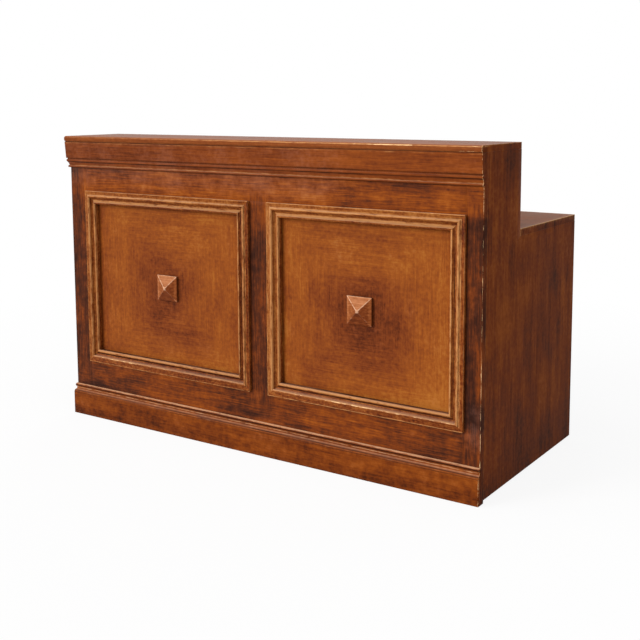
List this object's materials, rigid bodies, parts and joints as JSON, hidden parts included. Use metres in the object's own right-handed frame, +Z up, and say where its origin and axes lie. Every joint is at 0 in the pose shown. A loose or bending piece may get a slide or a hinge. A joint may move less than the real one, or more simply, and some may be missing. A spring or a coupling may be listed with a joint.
{
  "type": "bar counter",
  "caption": "Free-standing wooden bar counter with moulded front panels, a raised ledge over a lower worktop, open shelves on the staff side and levelling feet.",
  "frame": {"origin": "on the floor, at the middle of the overall width and depth", "axes": "+Z up, +X towards the flush right end as the customer sees it, -Y towards the customer's side, +Y towards the staff side"},
  "size_m": [1.71, 0.758, 1.065],
  "materials": {
    "stile_wood": "dark brushed stain, satin",
    "rail_wood": "streaky brown stain, satin",
    "panel_wood": "shaded brown stain, satin",
    "moulding_wood": "brown stain rubbed through on the ridges, satin",
    "cornice_wood": "brown stain rubbed through on the edges, satin",
    "plinth_wood": "brown stain rubbed through on the edges, satin",
    "end_wood": "dark streaky stain, satin",
    "top_wood": "brown stain with a worn sheen",
    "riser_wood": "brown stain, satin",
    "inside_wood": "plain brown stain, matt",
    "screw_steel": "zinc plated",
    "foot_steel": "zinc plated"
  },
  "bodies": {
    "counter": {"left_stile": "stile_wood", "right_stile": "stile_wood", "centre_muntin": "stile_wood", "top_rail": "rail_wood", "bottom_rail": "rail_wood", "left_panel": "panel_wood", "right_panel": "panel_wood", "left_panel_moulding_bottom": "moulding_wood", "left_panel_moulding_right": "moulding_wood", "left_panel_moulding_top": "moulding_wood", "left_panel_moulding_left": "moulding_wood", "right_panel_moulding_bottom": "moulding_wood", "right_panel_moulding_right": "moulding_wood", "right_panel_moulding_top": "moulding_wood", "right_panel_moulding_left": "moulding_wood", "left_boss": "moulding_wood", "right_boss": "moulding_wood", "frieze_front": "cornice_wood", "frieze_return_left": "cornice_wood", "cornice_front": "cornice_wood", "cornice_return_left": "cornice_wood", "plinth_front": "plinth_wood", "plinth_return_left": "plinth_wood", "plinth_cap_front": "plinth_wood", "plinth_cap_return_left": "plinth_wood", "left_end_panel": "end_wood", "right_end_panel": "end_wood", "bar_top": "top_wood", "worktop": "top_wood", "riser_panel": "riser_wood", "centre_divider": "inside_wood", "bottom_board": "inside_wood", "rear_kick_rail": "inside_wood", "rear_rail": "inside_wood", "left_shelf": "inside_wood", "right_shelf": "inside_wood", "left_shelf_cleat_outer": "inside_wood", "left_shelf_cleat_inner": "inside_wood", "right_shelf_cleat_inner": "inside_wood", "right_shelf_cleat_outer": "inside_wood", "left_bearer": "inside_wood", "right_bearer": "inside_wood", "front_bearer": "inside_wood", "corner_blocks": "inside_wood", "left_foot_block": "inside_wood", "centre_foot_block": "inside_wood", "right_foot_block": "inside_wood", "cleat_screws": "screw_steel", "foot_inserts": "screw_steel"},
    "left_foot": {"left_levelling_foot": "foot_steel"},
    "centre_foot": {"centre_levelling_foot": "foot_steel"},
    "right_foot": {"right_levelling_foot": "foot_steel"}
  },
  "joints": [
    {"name": "left_foot_screw", "type": "slide", "parent": "counter", "child": "left_foot", "axis": [0, 0, -1], "range_m": [0, 0.015]},
    {"name": "centre_foot_screw", "type": "slide", "parent": "counter", "child": "centre_foot", "axis": [0, 0, -1], "range_m": [0, 0.015]},
    {"name": "right_foot_screw", "type": "slide", "parent": "counter", "child": "right_foot", "axis": [0, 0, -1], "range_m": [0, 0.015]}
  ]
}
